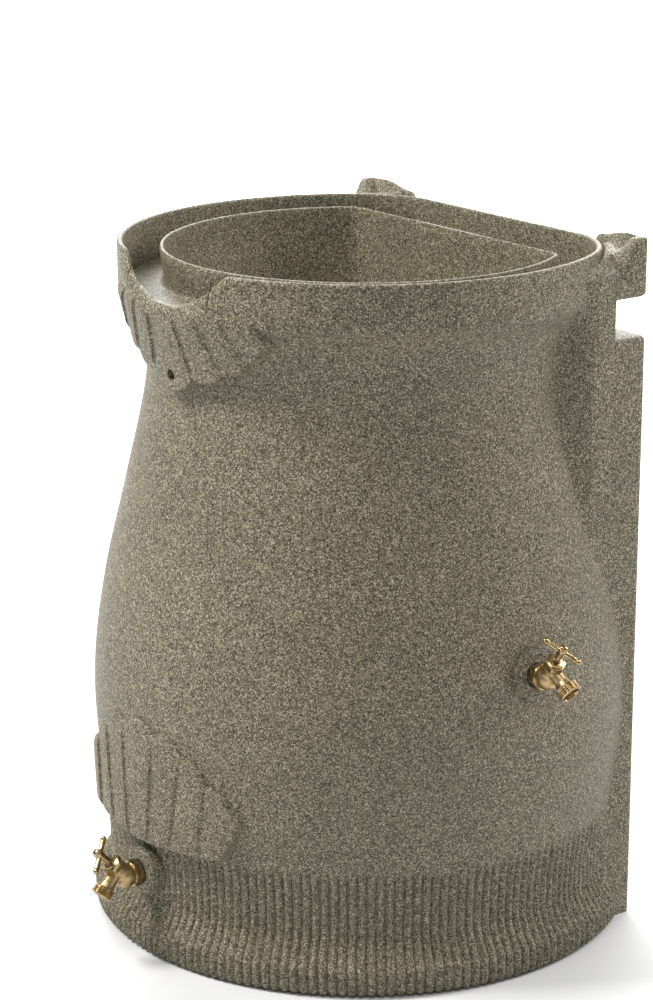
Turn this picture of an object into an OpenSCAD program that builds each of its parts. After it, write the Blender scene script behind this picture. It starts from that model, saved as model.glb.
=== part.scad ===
// Flat-backed rain barrel with a lift-out planter and two brass taps.
// Origin on the barrel's axis at ground level, +Z up, front towards -Y, flat back towards +Y.

/* [Barrel] */
// Height of the rim above the ground
rim_z = 820; // [815:1:830]
// Outer radius of the rim
rim_r = 286; // [285:1:287]
// Outer radius of the foot ring
foot_r = 325; // [322:1:326]
// Wall thickness of the moulded shell
wall = 6; // [5:0.5:7]
// Distance from the axis to the flat back
back_y = 215; // [212:1:218]
// Half of the width of the flat-back block
block_half_w = 260; // [256:1:264]
// Height of the two back corners
ear_z = 829; // [826:1:834]

/* [Overflow] */
// Radius of the scoop cut in the front of the rim
notch_r = 130; // [110:5:140]
// Lowest point of that scoop
notch_z = 773; // [772:1:780]
// Radius of the overflow port in the upper fan
port_r = 7; // [5:0.5:8]
// Height of the overflow port
port_z = 691; // [688:1:694]

/* [Planter] */
// Radius of the opening that the planter drops into
well_r = 279; // [278:0.5:279]
// Height of the ledge that carries the planter
ledge_z = 764; // [762:1:764]
// Outer radius of the planting pot
pot_r = 236; // [228:1:238]
// Height of the pot's lip
pot_z = 812; // [800:1:816]
// Height of the pot's underside
pot_floor_z = 640; // [620:5:660]

/* [Taps] */
// Distance from the axis to both tap bosses
boss_reach = 326; // [325:0.5:328]
// Height of the upper tap
upper_tap_z = 368; // [360:1:375]
// Height of the lower tap
lower_tap_z = 102; // [98:1:106]
// Upward tilt of the upper tap, square to the sloping wall
upper_tilt = 8; // [5:1:9]
// Upward tilt of the lower tap
lower_tilt = -2; // [-4:1:0]
// Roll of the upper tap about its shank
upper_roll = 8; // [0:1:20]
// Turn of the upper handle about its stem when closed
upper_turn = -66; // [-90:1:90]
// Turn of the lower handle about its stem when closed
lower_turn = 121.5; // [90:0.5:150]
// Outer radius of the hose thread
hose_r = 13.45; // [13.3:0.05:13.5]
// Length of the T-shaped handle
handle_l = 50; // [46:1:56]

/* [Hidden] */
$fn = 96;

// Colours
stone = "#8f8a6e";
brass = "#b98a44";
rubber = "#1d1d1d";
steel = "#c4c6c8";
black_plastic = "#2b2a27";

// Running clearance of a turning or sliding fit
play = 0.05;
// How far shapes that are joined reach into each other
overlap = 5;

// Shell: [radius, height] points that the outer wall passes through, from the waist to the rim band
waist_z = 66;
body_knots = [
    [305.5, waist_z], [307, 110], [315, 170], [321, 230], [323, 280], [320.5, 330], [314, 380], [303, 440],
    [288.5, 500], [274.5, 560], [263, 610], [255.5, 650], [253.5, 678], [255, 705], [262, 735], [273, 752],
    [283, 764]
];
knot_steps = 3;
foot_round = 12;
foot_top_z = 34;
band_z = 772;
lip_round = 3;
ledge_r = 264;
ledge_back_y = 197;
ledge_h = 14;
well_corner = 60;
neck_top_z = 735;

// Flat-back block and its hand grips
block_front_y = 120;
block_corner = 12;
grip_low_z = 718;
grip_depth = 49;
grip_w = 64;
ear_floor_z = 806;
ear_start_x = 165;
post_w = 22;

// Petal fans: [x, height] corners of the right half, and how far each scallop bulges
lower_fan_face_r = 327;
lower_fan_corners = [[31, 281], [76, 267], [111, 238], [152, 200]];
lower_fan_bulges = [12, 9, 6, 5];
lower_fan_foot = [130, 151];
lower_fan_foot_z = 142;
upper_fan_corners = [[37, 693], [82, 704], [115, 722], [143, 748]];
upper_fan_bulges = [21, 8, 7, 5];
upper_fan_end = [[139, 769], [127, 785]];
scallop_steps = 8;

// Tap bosses
boss_r = 28;
boss_step_r = 25.5;
boss_step = 2;
boss_hollow_r = 24;

// Planter tray
deck_t = 4;
deck_play = 1.5;
pot_wall = 4;
pot_back_y = 140;
pot_base_r = 212;
drain_r = 4;
drain_ring_r = 90;
drain_count = 6;

// Rain inlet in the tray's back gutter
inlet_y = 172;
inlet_half_l = 70;
inlet_r = 18;
screen_flange_r = 27;
screen_flange_t = 3;
screen_collar_r = 17.5;
screen_inner_r = 14.5;
screen_depth = 18;
mesh_r = 16;
mesh_t = 1;
screw_r = 1.6;
screw_x = 45;
screw_offset = 22.5;
screw_head_r = 3.4;
screw_head_h = 2;
screw_l = 10;

// Tap, along its shank
hole_r = 13.6;
shank_r = 13.2;
shank_l = 30;
shank_bore_r = 7;
gasket_t = 1.5;
gasket_r = 15;
hex_l = 10;
hex_r = 16.2;
bulb_x = 19;
bulb_r = 14.5;

// Tap, along its stem, which leaves the shank's axis at stem_x
stem_x = 17;
seat_s = 5;
seat_r = 5;
chamber_r = 7.5;
chamber_wall_r = 11;
bonnet_s = 21;
bonnet_l = 11;
bonnet_r = 12.7;
packing_r = 6.9;
packing_l = 5;
stem_r = 4;
stem_end_r = 3.4;
stem_shoulder_s = 44;
stem_end_s = 54;
washer_t = 3;
washer_r = 6.6;
holder_t = 3;
hub_r = 5.2;
hub_top_s = 56;
bar_s = 50;
bar_r = 2.6;
bar_ball_r = 3.4;

// Tap, along its outlet, which leaves the stem's axis at outlet_s
outlet_s = 15.6;
outlet_l = 38;
outlet_r = 8.2;
outlet_bore_r = 6.2;
thread_l = 11;

// Lock nut and gasket inside the barrel
inner_gasket_t = 2;
inner_gasket_r = 20;
nut_r = 22;
nut_l = 8;

// Point at t between p1 and p2 on a smooth curve through four knots
function blend(p0, p1, p2, p3, t) =
    0.5 * (2 * p1 + (p2 - p0) * t + (2 * p0 - 5 * p1 + 4 * p2 - p3) * t * t
    + (3 * p1 - p0 - 3 * p2 + p3) * t * t * t);

// Smooth curve through all knots
function curve(knots, steps) = [
    for (i = [0 : len(knots) - 2], j = [0 : steps - 1])
        blend(knots[max(i - 1, 0)], knots[i], knots[i + 1], knots[min(i + 2, len(knots) - 1)], j / steps),
    knots[len(knots) - 1]
];

// Arc from p towards q, short of q, bulging to the right of that direction
function scallop(p, q, bulge, steps) =
    let (
        d = q - p,
        chord = norm(d),
        r = (chord * chord / 4 + bulge * bulge) / (2 * bulge),
        side = [d[1], -d[0]] / chord,
        centre = (p + q) / 2 - side * (r - bulge),
        half = asin(chord / 2 / r) * (bulge > r ? -1 : 1),
        mid = atan2(side[1], side[0])
    )
    [for (j = [0 : steps - 1]) centre + r * [cos(mid - half + 2 * half * j / steps), sin(mid - half + 2 * half * j / steps)]];

function mirrored(points) = [for (i = [len(points) - 1 : -1 : 0]) [-points[i][0], points[i][1]]];
function moved_in(points, d) = [for (p = points) [p[0] - d, p[1]]];

// Circle of radius r with a flat back at y = back and rounded back corners
module d_shape(r, back, corner) {
    corner_x = sqrt(pow(r - corner, 2) - pow(back - corner, 2));
    reach = [corner_x, back - corner] * 3;
    difference() {
        circle(r, $fn = 180);
        polygon([[0, 0], reach, [-reach[0], reach[1]]]);
    }
    for (side = [-1, 1]) translate([side * corner_x, back - corner]) circle(corner);
    polygon([
        [0, -overlap], [corner_x, back - corner - overlap], [corner_x, back],
        [-corner_x, back], [-corner_x, back - corner - overlap]
    ]);
}

// Slot with round ends along X
module slot(half_l, r) {
    for (side = [-1, 1]) translate([side * half_l, 0]) circle(r);
    square([2 * half_l, 2 * r], center = true);
}

// Rectangle from x0,y0 to x1,y1 with rounded corners
module rounded_box(x0, y0, x1, y1, r) {
    translate([x0 + r, y0]) square([x1 - x0 - 2 * r, y1 - y0]);
    translate([x0, y0 + r]) square([x1 - x0, y1 - y0 - 2 * r]);
    for (x = [x0 + r, x1 - r], y = [y0 + r, y1 - r]) translate([x, y]) circle(r);
}

// Everything in front of the plane y = back
module in_front_of(back) {
    translate([-400, -400, -10]) cube([800, 400 + back, 900]);
}

module outer_revolve() {
    foot_arc = [for (a = [-90 : 15 : 0]) [foot_r - foot_round, foot_round] + foot_round * [cos(a), sin(a)]];
    lip_arc = [for (a = [0 : 30 : 90]) [rim_r - lip_round, rim_z - lip_round] + lip_round * [cos(a), sin(a)]];
    rotate_extrude($fn = 180)
        polygon(concat(
            [[0, 0]], foot_arc, [[foot_r, foot_top_z - 4], [foot_r - 4, foot_top_z + 3]],
            [[foot_r - 16, waist_z - 10]], curve(body_knots, knot_steps),
            [[rim_r - 0.5, band_z]], lip_arc, [[0, rim_z]]
        ));
}

// Tank space inside the round wall, up to the underside of the ledge
module inner_revolve() {
    wall_points = [for (p = moved_in(curve(body_knots, knot_steps), wall)) if (p[1] < neck_top_z) p];
    rotate_extrude($fn = 180)
        polygon(concat(
            [[0, wall], [foot_r - 20, wall], [foot_r - wall - 4, wall + 8], [foot_r - wall - 4, foot_top_z - 2]],
            wall_points, [[ledge_r - 8, neck_top_z], [ledge_r, ledge_z - ledge_h], [0, ledge_z - ledge_h]]
        ));
}

module back_block() {
    linear_extrude(ledge_z)
        rounded_box(-block_half_w, block_front_y, block_half_w, back_y, block_corner);
    translate([0, 0, ledge_z])
        linear_extrude(ear_floor_z - ledge_z)
            rounded_box(-block_half_w, block_front_y, block_half_w, back_y, block_corner);
    for (side = [-1, 1]) {
        edge_x = side > 0 ? ear_start_x : -block_half_w + block_corner;
        translate([edge_x, back_y - wall, ear_floor_z - 1])
            cube([block_half_w - block_corner - ear_start_x, wall, ear_z - ear_floor_z + 1]);
        post_x = side > 0 ? block_half_w - post_w : -block_half_w;
        translate([0, 0, ear_floor_z - 1])
            linear_extrude(ear_z - ear_floor_z + 1)
                rounded_box(post_x, back_y - post_w, post_x + post_w, back_y, 10);
    }
}

module block_space() {
    inset = wall;
    translate([0, 0, wall])
        linear_extrude(grip_low_z - 2 * wall)
            rounded_box(-block_half_w + inset, block_front_y + inset, block_half_w - inset, back_y - inset, 8);
    for (side = [-1, 1])
        translate([side > 0 ? 150 : -block_half_w + inset, block_front_y + inset, grip_low_z - 30])
            cube([block_half_w - inset - 150, back_y - grip_depth - block_front_y - 2 * inset, 56]);
}

// Pockets behind the back corners, kept one wall away from the planter's well
module hand_grips() {
    difference() {
        for (side = [-1, 1])
            translate([side > 0 ? block_half_w - grip_w : -block_half_w - 1, back_y - grip_depth, grip_low_z])
                cube([grip_w + 1, grip_depth + 1, ledge_z - grip_low_z]);
        cylinder(h = rim_z, r = well_r + wall);
    }
}

// Ring of the given [radius, height] section, used as the face of a fan
module fan_ring(section) {
    rotate_extrude($fn = 180) polygon(section);
}

// Extrudes an outline of [x, height] points towards the front
module towards_front() {
    translate([0, -200, 0]) rotate([90, 0, 0]) linear_extrude(140) children();
}

module lower_fan() {
    corners = lower_fan_corners;
    bulges = lower_fan_bulges;
    half = concat(
        [lower_fan_foot],
        scallop(corners[3], corners[2], bulges[3], scallop_steps),
        scallop(corners[2], corners[1], bulges[2], scallop_steps),
        scallop(corners[1], corners[0], bulges[1], scallop_steps),
        scallop(corners[0], [-corners[0][0], corners[0][1]], bulges[0], scallop_steps)
    );
    left = [for (p = mirrored(half)) if (p[0] < -corners[0][0] + 0.01) p];
    intersection() {
        fan_ring([[295, 120], [lower_fan_face_r, 120], [lower_fan_face_r, 310], [295, 310]]);
        towards_front() polygon(concat(half, left, [[0, lower_fan_foot_z]]));
    }
}

module upper_fan() {
    corners = upper_fan_corners;
    bulges = upper_fan_bulges;
    half = concat(
        scallop([-corners[0][0], corners[0][1]], corners[0], bulges[0], scallop_steps),
        scallop(corners[0], corners[1], bulges[1], scallop_steps),
        scallop(corners[1], corners[2], bulges[2], scallop_steps),
        scallop(corners[2], corners[3], bulges[3], scallop_steps),
        [corners[3]], upper_fan_end
    );
    left = [for (p = mirrored(half)) if (p[0] < -corners[0][0] - 0.01) p];
    intersection() {
        fan_ring([[249, 665], [267, 665], [270, 695], [275, 720], [281, 742], [287, 765], [287, 790], [249, 790]]);
        towards_front() polygon(concat(half, left));
    }
}

// Places children in a tap's own axes: +X out of the barrel, origin on the boss face
module at_upper_tap() {
    translate([boss_reach, 0, upper_tap_z]) rotate([0, -upper_tilt, 0]) rotate([upper_roll, 0, 0]) children();
}

module at_lower_tap() {
    translate([0, -boss_reach, lower_tap_z]) rotate([0, 0, -90]) rotate([0, -lower_tilt, 0]) children();
}

module along_shank(x) {
    translate([x, 0, 0]) rotate([0, 90, 0]) children();
}

module along_stem(s) {
    translate([stem_x, 0, 0]) rotate([0, 45, 0]) translate([0, 0, s]) children();
}

module along_outlet(l) {
    translate([stem_x + outlet_s * cos(45), 0, outlet_s * sin(45)]) rotate([0, 135, 0])
        translate([0, 0, l]) children();
}

module boss() {
    along_shank(-26) cylinder(h = 26 - boss_step, r = boss_r);
    along_shank(-26) cylinder(h = 26, r = boss_step_r);
}

module boss_hollow() {
    along_shank(-60) cylinder(h = 60 - wall, r = boss_hollow_r);
    along_shank(-60) cylinder(h = 70, r = hole_r);
}

module barrel_shell() {
    color(stone)
    difference() {
        union() {
            intersection() {
                outer_revolve();
                in_front_of(back_y);
            }
            back_block();
            lower_fan();
            upper_fan();
            at_upper_tap() boss();
            at_lower_tap() boss();
        }
        intersection() {
            inner_revolve();
            in_front_of(back_y - wall);
        }
        block_space();
        translate([0, 0, ledge_z - ledge_h - 1])
            linear_extrude(ledge_h + 2) d_shape(ledge_r, ledge_back_y, 50);
        translate([0, 0, ledge_z]) linear_extrude(100) d_shape(well_r, back_y - wall, well_corner);
        hand_grips();
        translate([0, -200, notch_z + notch_r]) rotate([90, 0, 0]) cylinder(h = 120, r = notch_r);
        translate([0, -200, port_z]) rotate([90, 0, 0]) cylinder(h = 120, r = port_r);
        at_upper_tap() boss_hollow();
        at_lower_tap() boss_hollow();
    }
}

// Pot with a flat back, grown inwards by inset
module pot_form(inset) {
    intersection() {
        rotate_extrude($fn = 180)
            polygon([
                [0, pot_floor_z + inset], [pot_base_r - 10 - inset, pot_floor_z + inset],
                [pot_base_r - inset, pot_floor_z + 10], [pot_r - inset, pot_z - 12],
                [pot_r - inset, pot_z + (inset > 0 ? 1 : 0)], [0, pot_z + (inset > 0 ? 1 : 0)]
            ]);
        in_front_of(pot_back_y - inset);
    }
}

module planter_tray() {
    color(stone)
    difference() {
        union() {
            translate([0, 0, ledge_z])
                linear_extrude(deck_t)
                    d_shape(well_r - deck_play, back_y - wall - deck_play, well_corner - deck_play);
            pot_form(0);
        }
        pot_form(pot_wall);
        for (i = [0 : drain_count - 1])
            rotate(i * 360 / drain_count) translate([drain_ring_r, 0, pot_floor_z - 1])
                cylinder(h = pot_wall + 2, r = drain_r);
        translate([0, inlet_y, ledge_z - 1]) linear_extrude(deck_t + 2) slot(inlet_half_l, inlet_r);
        at_screen_screws() cylinder(h = 30, r = screw_r, center = true);
    }
}

module at_screen_screws() {
    for (x = [-screw_x, screw_x], y = [-screw_offset, screw_offset])
        translate([x, inlet_y + y, ledge_z + deck_t]) children();
}

module inlet_screen_frame() {
    deck_z = ledge_z + deck_t;
    color(black_plastic)
    difference() {
        union() {
            translate([0, inlet_y, deck_z]) linear_extrude(screen_flange_t) slot(inlet_half_l, screen_flange_r);
            translate([0, inlet_y, deck_z - screen_depth])
                linear_extrude(screen_depth + 1) slot(inlet_half_l, screen_collar_r);
        }
        translate([0, inlet_y, deck_z - 50]) linear_extrude(100) slot(inlet_half_l, screen_inner_r);
        translate([0, inlet_y, deck_z - screen_depth - 1])
            linear_extrude(mesh_t + 3) slot(inlet_half_l, mesh_r);
        at_screen_screws() cylinder(h = 30, r = screw_r + 0.2, center = true);
    }
}

module inlet_screen_mesh() {
    color(steel)
    translate([0, inlet_y, ledge_z + deck_t - screen_depth + 2])
        linear_extrude(mesh_t) slot(inlet_half_l, mesh_r);
}

module inlet_screen_screws() {
    color(steel)
    at_screen_screws() {
        translate([0, 0, screen_flange_t - screw_l]) cylinder(h = screw_l, r = screw_r, $fn = 24);
        translate([0, 0, screen_flange_t]) cylinder(h = screw_head_h, r = screw_head_r, $fn = 32);
    }
}

module tap_body() {
    color(brass)
    difference() {
        union() {
            along_shank(-shank_l) cylinder(h = shank_l + gasket_t + 1, r = shank_r);
            along_shank(gasket_t) rotate(30) cylinder(h = hex_l, r = hex_r, $fn = 6);
            along_shank(gasket_t + hex_l) cylinder(h = bulb_x - gasket_t - hex_l, r = 13);
            translate([bulb_x, 0, 0]) sphere(bulb_r);
            along_stem(0) cylinder(h = bonnet_s, r = chamber_wall_r);
            along_outlet(0) cylinder(h = outlet_l, r = outlet_r);
            along_outlet(outlet_l - thread_l) cylinder(h = thread_l, r = hose_r);
        }
        along_shank(-shank_l - 1) cylinder(h = shank_l + 14, r = shank_bore_r);
        along_stem(-7) cylinder(h = seat_s + 8, r = seat_r);
        along_stem(seat_s) cylinder(h = bonnet_s - seat_s + 1, r = chamber_r);
        along_outlet(0) cylinder(h = outlet_l + 1, r = outlet_bore_r);
        along_outlet(outlet_l - thread_l + 3) cylinder(h = thread_l, r = hose_r - 2.6);
        along_stem(bonnet_s) cylinder(h = bonnet_l, r = bonnet_r + 0.5);
    }
}

module tap_bonnet() {
    color(brass)
    difference() {
        union() {
            along_stem(bonnet_s) cylinder(h = bonnet_l - 2, r = bonnet_r, $fn = 6);
            along_stem(bonnet_s + bonnet_l - 2) cylinder(h = 2, r = 8);
        }
        along_stem(bonnet_s - 1) cylinder(h = bonnet_l + 2, r = stem_r + play);
        along_stem(bonnet_s - 1) cylinder(h = packing_l + 3, r = packing_r);
    }
}

module tap_packing() {
    color(rubber)
    difference() {
        along_stem(bonnet_s + 2) cylinder(h = packing_l, r = packing_r);
        along_stem(bonnet_s) cylinder(h = packing_l + 4, r = stem_r + play);
    }
}

module tap_stem() {
    washer_top_s = seat_s + play + washer_t;
    color(brass)
    difference() {
        union() {
            along_stem(washer_top_s) cylinder(h = holder_t, r = washer_r);
            along_stem(washer_top_s) cylinder(h = stem_shoulder_s - washer_top_s, r = stem_r);
            along_stem(stem_shoulder_s) cylinder(h = stem_end_s - stem_shoulder_s, r = stem_end_r);
        }
        along_stem(washer_top_s - 1) cylinder(h = 8, r = 1.5);
        along_stem(stem_end_s - 8) cylinder(h = 9, r = 1.5);
    }
}

module tap_seat_washer() {
    color(rubber)
    difference() {
        along_stem(seat_s + play) cylinder(h = washer_t, r = washer_r);
        along_stem(seat_s - 1) cylinder(h = washer_t + 3, r = 1.5 + play);
    }
}

module tap_washer_screw() {
    color(brass) {
        along_stem(seat_s + play - 1.4) cylinder(h = 1.4, r = 3, $fn = 32);
        along_stem(seat_s + play - 1.4) cylinder(h = washer_t + 6, r = 1.5, $fn = 24);
    }
}

module tap_handle(turn) {
    ball_reach = handle_l / 2 - bar_ball_r;
    color(brass)
    difference() {
        union() {
            along_stem(stem_shoulder_s) cylinder(h = hub_top_s - stem_shoulder_s, r = hub_r);
            along_stem(bar_s) rotate(turn) rotate([90, 0, 0])
                cylinder(h = 2 * ball_reach, r = bar_r, center = true);
            for (side = [-1, 1])
                along_stem(bar_s) rotate(turn) translate([0, side * ball_reach, 0]) sphere(bar_ball_r, $fn = 48);
        }
        along_stem(stem_shoulder_s - 1) cylinder(h = stem_end_s - stem_shoulder_s + 1, r = stem_end_r + play);
        along_stem(stem_end_s - 1) cylinder(h = 4, r = 1.5 + play);
    }
}

module tap_handle_screw() {
    color(brass)
    difference() {
        union() {
            along_stem(hub_top_s) cylinder(h = 1.5, r = 4.6, $fn = 48);
            along_stem(hub_top_s + 1.5) intersection() {
                translate([0, 0, -1.5]) sphere(4.84, $fn = 48);
                cylinder(h = 5, r = 4.6, $fn = 48);
            }
            along_stem(stem_end_s - 7) cylinder(h = 10, r = 1.5, $fn = 24);
        }
        along_stem(hub_top_s + 2.6) translate([-0.6, -6, 0]) cube([1.2, 12, 3]);
    }
}

module tap_outer_gasket() {
    color(rubber)
    difference() {
        along_shank(0) cylinder(h = gasket_t, r = gasket_r);
        along_shank(-1) cylinder(h = gasket_t + 2, r = shank_r + play);
    }
}

module tap_inner_gasket() {
    color(rubber)
    difference() {
        along_shank(-wall - inner_gasket_t) cylinder(h = inner_gasket_t, r = inner_gasket_r);
        along_shank(-wall - 10) cylinder(h = 20, r = shank_r + play);
    }
}

module tap_lock_nut() {
    color(brass)
    difference() {
        along_shank(-wall - inner_gasket_t - nut_l) cylinder(h = nut_l, r = nut_r, $fn = 6);
        along_shank(-60) cylinder(h = 60, r = shank_r + play);
    }
}

barrel_shell();
planter_tray();
inlet_screen_frame();
inlet_screen_mesh();
inlet_screen_screws();
at_upper_tap() tap_body();  // upper_tap_body
at_upper_tap() tap_bonnet();  // upper_tap_bonnet
at_upper_tap() tap_packing();  // upper_tap_packing
at_upper_tap() tap_stem();  // upper_tap_stem
at_upper_tap() tap_handle(upper_turn);  // upper_tap_handle
at_upper_tap() tap_handle_screw();  // upper_tap_handle_screw
at_upper_tap() tap_seat_washer();  // upper_tap_seat_washer
at_upper_tap() tap_washer_screw();  // upper_tap_washer_screw
at_upper_tap() tap_outer_gasket();  // upper_tap_outer_gasket
at_upper_tap() tap_inner_gasket();  // upper_tap_inner_gasket
at_upper_tap() tap_lock_nut();  // upper_tap_lock_nut
at_lower_tap() tap_body();  // lower_tap_body
at_lower_tap() tap_bonnet();  // lower_tap_bonnet
at_lower_tap() tap_packing();  // lower_tap_packing
at_lower_tap() tap_stem();  // lower_tap_stem
at_lower_tap() tap_handle(lower_turn);  // lower_tap_handle
at_lower_tap() tap_handle_screw();  // lower_tap_handle_screw
at_lower_tap() tap_seat_washer();  // lower_tap_seat_washer
at_lower_tap() tap_washer_screw();  // lower_tap_washer_screw
at_lower_tap() tap_outer_gasket();  // lower_tap_outer_gasket
at_lower_tap() tap_inner_gasket();  // lower_tap_inner_gasket
at_lower_tap() tap_lock_nut();  // lower_tap_lock_nut
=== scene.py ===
"""Looks of the flat-backed rain barrel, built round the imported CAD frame.

Shapes are worked out in millimetres, about the frame's own origin.
"""

import math

import bmesh
import bpy
import numpy as np
from mathutils import Matrix, Vector


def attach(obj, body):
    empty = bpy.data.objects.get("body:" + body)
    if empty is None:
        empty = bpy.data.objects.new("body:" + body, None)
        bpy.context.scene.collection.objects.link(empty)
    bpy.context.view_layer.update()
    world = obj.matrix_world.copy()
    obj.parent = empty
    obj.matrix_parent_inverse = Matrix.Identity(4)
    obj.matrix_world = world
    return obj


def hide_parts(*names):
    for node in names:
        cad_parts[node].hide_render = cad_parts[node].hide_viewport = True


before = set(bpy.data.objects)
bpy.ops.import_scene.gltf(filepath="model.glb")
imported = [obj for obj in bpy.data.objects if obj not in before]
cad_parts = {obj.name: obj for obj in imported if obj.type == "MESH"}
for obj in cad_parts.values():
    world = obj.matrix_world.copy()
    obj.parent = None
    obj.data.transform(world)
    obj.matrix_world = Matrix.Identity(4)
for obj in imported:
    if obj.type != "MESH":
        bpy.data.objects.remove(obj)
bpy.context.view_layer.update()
scene = bpy.context.scene

MM = 0.001
# Columns of the shell are counted in twelfths of a degree, so that coarse ones are a subset of fine ones
DEGREE = 12
TURN = 360 * DEGREE

# Shell, as in the CAD
RIM_Z = 820
RIM_R = 286
FOOT_R = 325
WALL = 6
BACK_Y = 215
BLOCK_HALF_W = 260
NOTCH_R = 130
NOTCH_Z = 773
PORT_R = 7
PORT_Z = 691
WELL_R = 279
LEDGE_Z = 764
LEDGE_R = 264
LEDGE_BACK_Y = 197
LEDGE_H = 14
NECK_TOP_Z = 735
FOOT_PROFILE = [(FOOT_R, 12), (FOOT_R, 29), (324, 33), (321, 37), (315, 46), (309, 57)]
BODY_KNOTS = [
    (305.5, 66), (307, 110), (315, 170), (321, 230), (323, 280), (320.5, 330), (314, 380), (303, 440),
    (288.5, 500), (274.5, 560), (263, 610), (255.5, 650), (253.5, 678), (255, 705), (262, 735), (273, 752),
    (283, 764), (285.5, 772), (286, 800), (286, 840),
]
GRIP_X, GRIP_Y, GRIP_LOW_Z, GRIP_R = 196, 166, 718, 285

# Where the looks follow the photograph more closely than the CAD
BLOCK_CORNER = 7
EAR_Z = 833
FIN_Z = 825
EAR_FLOOR_Z = 819
HOOK = 5
CORNER_SHARE = 0.52

# Surface relief that only the looks carry
RIB_PITCH = 2 * DEGREE
RIB_DEPTH = 2.1
RIB_TOP_Z, RIB_FADE_Z = 136, 152
RIDGE_H, RIDGE_W = 3.2, 1.6
PAD_EDGE_R = 1.8

# Planter and rain inlet, as in the CAD
DECK_Z = 768
DECK_GAP = 1.5
POT_WALL = 4
POT_OUTLINE = [(202, 640), (208, 641.5), (211, 645), (212, 650), (236, 800), (236, 812)]
POT_BACK_Y = 140
DRAIN_R = 4
INLET_Y = 172
INLET_HALF_L = 70
INLET_R = 18
MESH_Z = 752.5
MESH_R = 15.6

# Taps, as in the CAD
BOSS_REACH = 326
STEM_X = 17
OUTLET_S = 15.6
OUTLET_L = 38
THREAD_L = 11
HOSE_R = 13.45
SHANK_R = 13.2
SHANK_BORE_R = 7
OUTLET_BORE_R = 6.2

# Levels and steps of the shell's rows
FOOT_LEVELS = (
    0, 0.5, 1.5, 3, 5, 8, 12, 18, 24, 29, 31, 33, 35, 37, 41, 46, 51, 57, 61, 66, 74, 84, 94, 104, 112, 120,
    126, 131, 136, 141, 146, 152,
)
INSIDE_LEVELS = (
    NECK_TOP_Z, 705, 678, 650, 610, 560, 500, 440, 380, 330, 280, 230, 170, 110, 66, 57, 33, 14, 8,
)
GRIP_EDGE_R = 6
GRIP_EDGE_LEVELS = (709, 712, 713, 714.5, 716, 717, 717.9)
GRIP_TOP_Z = 794
EAR_FOOT_Z = 812
EAR_INSETS = (0, 0.3, 0.9, 1.8, 3, 4.2, 5, 6, 7.2, 8.6, 10.5, 13, 16, 19, 22, 26, 32, 40, 60)
LIP_SHARES = (0.15, 0.32, 0.48, 0.62, 0.74, 0.84, 0.91, 0.955, 0.985, 1.0)


def placed(*steps):
    """One matrix from moves (three numbers) and turns (an axis letter and degrees), outermost first."""
    matrix = Matrix.Identity(4)
    for step in steps:
        if len(step) == 3:
            matrix = matrix @ Matrix.Translation(step)
        else:
            matrix = matrix @ Matrix.Rotation(math.radians(step[1]), 4, step[0])
    return matrix


UPPER_TAP = placed((BOSS_REACH, 0, 368), ("Y", -8), ("X", 8))
LOWER_TAP = placed((0, -BOSS_REACH, 102), ("Z", -90), ("Y", 2))
SHANK = placed(("Y", 90))
STEM = placed((STEM_X, 0, 0), ("Y", 45))
OUTLET = placed((STEM_X + OUTLET_S * math.cos(math.pi / 4), 0, OUTLET_S * math.sin(math.pi / 4)), ("Y", 135))


def smoothstep(low, high, x):
    t = np.clip((np.asarray(x, float) - low) / (high - low), 0, 1)
    return t * t * (3 - 2 * t)


def mix(a, b, t):
    return a + (b - a) * t


def smooth_max(a, b, reach):
    overlap = np.maximum(reach - np.abs(a - b), 0) / reach
    return np.maximum(a, b) + overlap * overlap * reach / 4


def smooth_min(a, b, reach):
    return -smooth_max(-a, -b, reach)


def roll(distance, radius):
    """How far a rounded edge of that radius has dropped, at a distance in from the edge."""
    inside = np.clip(radius - np.asarray(distance, float), 0, radius)
    return radius - np.sqrt(radius * radius - inside * inside)


# ---------------------------------------------------------------- meshes


def join_meshes(parts):
    """One (points, faces) pair from several."""
    points, faces, start = [], [], 0
    for some_points, some_faces in parts:
        points.append(np.asarray(some_points, float))
        faces += [tuple(i + start for i in face) for face in some_faces]
        start += len(some_points)
    return np.concatenate(points), faces


def moved(part, matrix):
    points, faces = part
    m = np.array(matrix)
    return np.asarray(points, float) @ m[:3, :3].T + m[:3, 3], faces


def quads(rows, columns, wrap):
    """Faces of a grid of rows by columns, closed round the columns if wrap is set."""
    faces = []
    for i in range(rows - 1):
        for j in range(columns if wrap else columns - 1):
            k = (j + 1) % columns
            faces.append((i * columns + j, i * columns + k, (i + 1) * columns + k, (i + 1) * columns + j))
    return faces


def lathe(profile, steps=64, closed=False):
    """A [radius, height] profile turned about Z. It runs up the outside, and closed joins its two ends."""
    profile = list(profile) + ([profile[0]] if closed else [])
    r, z = np.array(profile, float).T
    angle = np.arange(steps) * 2 * math.pi / steps
    points = np.stack(
        [np.outer(r, np.cos(angle)), np.outer(r, np.sin(angle)), np.repeat(z[:, None], steps, 1)], -1
    ).reshape(-1, 3)
    return points, quads(len(profile), steps, True)


def mesh_object(name, part, sharp=None):
    """A smooth-shaded object from (points, faces) in millimetres. Edges over `sharp` degrees stay crisp."""
    points, faces = part
    mesh = bpy.data.meshes.new(name)
    mesh.from_pydata((np.asarray(points) * MM).tolist(), [], faces)
    b = bmesh.new()
    b.from_mesh(mesh)
    bmesh.ops.remove_doubles(b, verts=b.verts, dist=1e-6)
    bmesh.ops.recalc_face_normals(b, faces=b.faces)
    b.to_mesh(mesh)
    b.free()
    mesh.shade_smooth()
    if sharp:
        mesh.set_sharp_from_angle(angle=math.radians(sharp))
    obj = bpy.data.objects.new(name, mesh)
    scene.collection.objects.link(obj)
    return obj


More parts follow.
